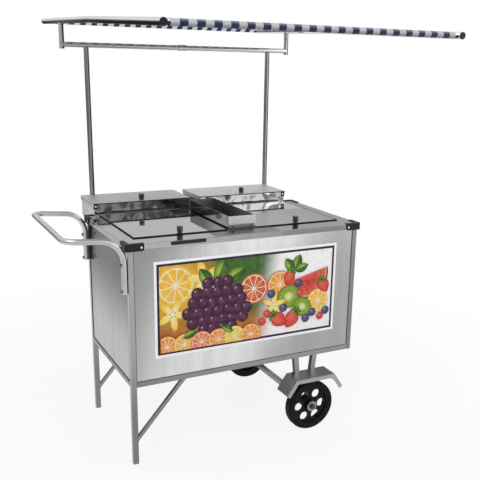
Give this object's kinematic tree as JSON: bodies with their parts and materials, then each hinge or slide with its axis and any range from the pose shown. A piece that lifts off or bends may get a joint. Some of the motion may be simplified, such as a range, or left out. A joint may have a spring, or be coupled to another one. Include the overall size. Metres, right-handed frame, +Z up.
{
  "type": "fruit salad cart",
  "caption": "Polished steel street cart with hinged lids over cold tubs, an open trough, hinged rear boxes, a push handle, a pair of wheels and a flat striped canopy on posts.",
  "frame": {"origin": "on the floor, under the middle of the whole cart's box, handle and canopy included", "axes": "+X along the cart away from the push handle, -Y towards the customer's side with the picture, +Z up"},
  "size_m": [1.5222, 1.7988, 1.9497],
  "materials": {
    "polished_steel": "mirror-polished stainless sheet",
    "steel_tube": "polished stainless tube",
    "galvanised_steel": "plain stainless, satin",
    "printed_sheet": "printed vinyl picture, gloss",
    "black_guard": "black moulded plastic",
    "black_edging": "black rubber edging",
    "bright_fastener": "bright fasteners",
    "black_knob": "black phenolic knob",
    "foam": "rigid insulation foam",
    "black_tyre": "solid black rubber",
    "black_wheel": "black moulded wheel",
    "bush": "white nylon bush",
    "dark_nut": "dark steel nut",
    "chrome_tube": "chromed round tube",
    "canopy_cloth": "navy and white striped cloth"
  },
  "bodies": {
    "cart": {"front_panel": "polished_steel", "rear_panel": "polished_steel", "end_panels": "polished_steel", "deck_top": "polished_steel", "trough": "polished_steel", "left_box": "polished_steel", "right_box": "polished_steel", "fenders": "polished_steel", "left_legs": "steel_tube", "right_posts": "steel_tube", "bottom_rails": "steel_tube", "top_rails": "steel_tube", "leg_braces": "steel_tube", "axle_struts": "steel_tube", "floor_panel": "galvanised_steel", "left_tub": "galvanised_steel", "right_tub": "galvanised_steel", "axle_beam": "galvanised_steel", "axle_shaft": "galvanised_steel", "axle_washers": "galvanised_steel", "post_brackets": "galvanised_steel", "trough_angle": "galvanised_steel", "hinge_bases": "galvanised_steel", "front_picture": "printed_sheet", "corner_guards": "black_guard", "rivets": "bright_fastener", "trough_screws": "bright_fastener", "handle_bolts": "bright_fastener", "hinge_pins": "bright_fastener", "tub_insulation": "foam", "axle_nuts": "dark_nut", "push_handle": "chrome_tube"},
    "front wheel": {"front_wheel": "black_wheel", "front_tyre": "black_tyre", "front_wheel_bush": "bush"},
    "rear wheel": {"rear_wheel": "black_wheel", "rear_tyre": "black_tyre", "rear_wheel_bush": "bush"},
    "left lid": {"left_lid": "polished_steel", "left_lid_edging": "black_edging", "left_lid_knob": "black_knob", "left_lid_hinge_leaf": "galvanised_steel"},
    "right lid": {"right_lid": "polished_steel", "right_lid_edging": "black_edging", "right_lid_knob": "black_knob", "right_lid_hinge_leaf": "galvanised_steel"},
    "left box lid": {"left_box_lid": "polished_steel", "left_box_edging": "black_edging", "left_box_knob": "black_knob", "left_box_hinge_leaf": "galvanised_steel"},
    "right box lid": {"right_box_lid": "polished_steel", "right_box_edging": "black_edging", "right_box_knob": "black_knob", "right_box_hinge_leaf": "galvanised_steel"},
    "canopy": {"canopy_posts": "chrome_tube", "canopy_cross_bars": "chrome_tube", "canopy_long_tubes": "chrome_tube", "canopy_end_tubes": "chrome_tube", "canopy_end_caps": "black_guard", "canopy_fabric": "canopy_cloth"}
  },
  "joints": [
    {"name": "front_wheel_turn", "type": "hinge", "parent": "cart", "child": "front wheel", "pos_m": [0.40515, -0.07491, 0.125], "axis": [0, 1, 0], "continuous": true},
    {"name": "rear_wheel_turn", "type": "hinge", "parent": "cart", "child": "rear wheel", "pos_m": [0.40515, -0.07491, 0.125], "axis": [0, 1, 0], "continuous": true},
    {"name": "left_lid_swing", "type": "hinge", "parent": "cart", "child": "left lid", "pos_m": [0.07915, 0.22639, 1.0213], "axis": [-1, 0, 0], "range_deg": [0, 97]},
    {"name": "right_lid_swing", "type": "hinge", "parent": "cart", "child": "right lid", "pos_m": [0.07915, 0.22639, 1.0213], "axis": [-1, 0, 0], "range_deg": [0, 97]},
    {"name": "left_box_lid_swing", "type": "hinge", "parent": "cart", "child": "left box lid", "pos_m": [0.07915, 0.49839, 1.0692], "axis": [-1, 0, 0], "range_deg": [0, 88]},
    {"name": "right_box_lid_swing", "type": "hinge", "parent": "cart", "child": "right box lid", "pos_m": [0.07915, 0.49839, 1.0692], "axis": [-1, 0, 0], "range_deg": [0, 88]},
    {"name": "canopy_lift", "type": "slide", "parent": "cart", "child": "canopy", "axis": [0, 0, 1], "range_m": [0, 0.12]}
  ]
}
